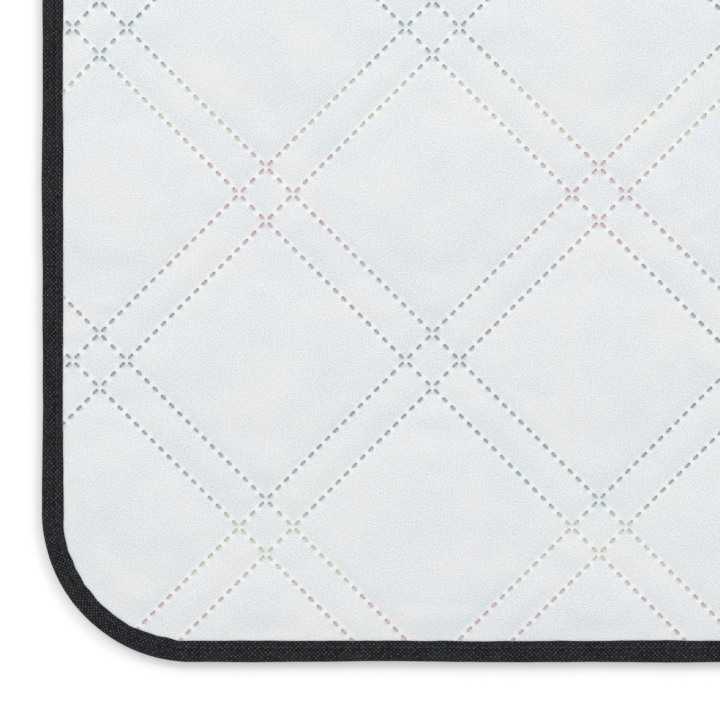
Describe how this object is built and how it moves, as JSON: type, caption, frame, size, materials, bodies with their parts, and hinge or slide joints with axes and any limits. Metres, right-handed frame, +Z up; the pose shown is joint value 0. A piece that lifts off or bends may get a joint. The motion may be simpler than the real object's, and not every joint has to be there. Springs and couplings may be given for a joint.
{
  "type": "foam sleeping pad",
  "caption": "Thin quilted foam sleeping pad with rounded corners and folded edge tape; it folds flat like an accordion and closes with a hook-and-loop flap.",
  "frame": {"origin": "on the ground, under the middle of the open pad and its flap", "axes": "+X along the pad towards the end with the flap, +Z up from the striped face to the pale face"},
  "size_m": [1.9742, 0.6, 0.0079],
  "materials": {
    "pale_cloth": "smooth film-faced cloth, quilted, very slight sheen",
    "foam": "closed-cell polyethylene foam, matt",
    "striped_cloth": "matt woven cloth with soft rainbow stripes along the pad",
    "black_tape": "matt black woven edge tape",
    "black_cloth": "matt black heavy cloth",
    "black_webbing": "matt black ribbed webbing",
    "hook_pile": "short stiff hooks",
    "loop_pile": "soft brushed loops"
  },
  "bodies": {
    "panel_1": {"top_cover_1": "pale_cloth", "foam_core_1": "foam", "bottom_cover_1": "striped_cloth", "edge_binding_1": "black_tape", "flap_root": "black_cloth"},
    "panel_2": {"top_cover_2": "pale_cloth", "foam_core_2": "foam", "bottom_cover_2": "striped_cloth", "edge_binding_2_front": "black_tape", "edge_binding_2_back": "black_tape"},
    "panel_3": {"top_cover_3": "pale_cloth", "foam_core_3": "foam", "bottom_cover_3": "striped_cloth", "edge_binding_3_front": "black_tape", "edge_binding_3_back": "black_tape"},
    "panel_4": {"top_cover_4": "pale_cloth", "foam_core_4": "foam", "bottom_cover_4": "striped_cloth", "edge_binding_4_front": "black_tape", "edge_binding_4_back": "black_tape"},
    "panel_5": {"top_cover_5": "pale_cloth", "foam_core_5": "foam", "bottom_cover_5": "striped_cloth", "edge_binding_5": "black_tape", "loop_tape": "loop_pile"},
    "flap_bridge_body": {"flap_bridge": "black_cloth", "handle_webbing": "black_webbing"},
    "flap_tongue_body": {"flap_tongue": "black_cloth", "hook_tape": "hook_pile"}
  },
  "joints": [
    {"name": "fold_1", "type": "hinge", "parent": "panel_1", "child": "panel_2", "pos_m": [0.50085, 0, 0.007], "axis": [0, 1, 0], "range_deg": [0, 179.9]},
    {"name": "fold_2", "type": "hinge", "parent": "panel_2", "child": "panel_3", "pos_m": [0.12885, 0, -0.001], "axis": [0, 1, 0], "range_deg": [-179.9, 0]},
    {"name": "fold_3", "type": "hinge", "parent": "panel_3", "child": "panel_4", "pos_m": [-0.24315, 0, 0.007], "axis": [0, 1, 0], "range_deg": [0, 179.9]},
    {"name": "fold_4", "type": "hinge", "parent": "panel_4", "child": "panel_5", "pos_m": [-0.61515, 0, -0.001], "axis": [0, 1, 0], "range_deg": [-179.9, 0]},
    {"name": "flap_lift", "type": "hinge", "parent": "panel_1", "child": "flap_bridge_body", "pos_m": [0.88285, 0, 0.0072], "axis": [0, -1, 0], "range_deg": [0, 90]},
    {"name": "tongue_fold", "type": "hinge", "parent": "flap_bridge_body", "child": "flap_tongue_body", "pos_m": [0.91715, 0, 0.0082], "axis": [0, -1, 0], "range_deg": [0, 90]}
  ],
  "couplings": [
    {"joint": "fold_2", "follows": "fold_1", "ratio": -1},
    {"joint": "fold_3", "follows": "fold_1", "ratio": 1},
    {"joint": "fold_4", "follows": "fold_1", "ratio": -1}
  ]
}
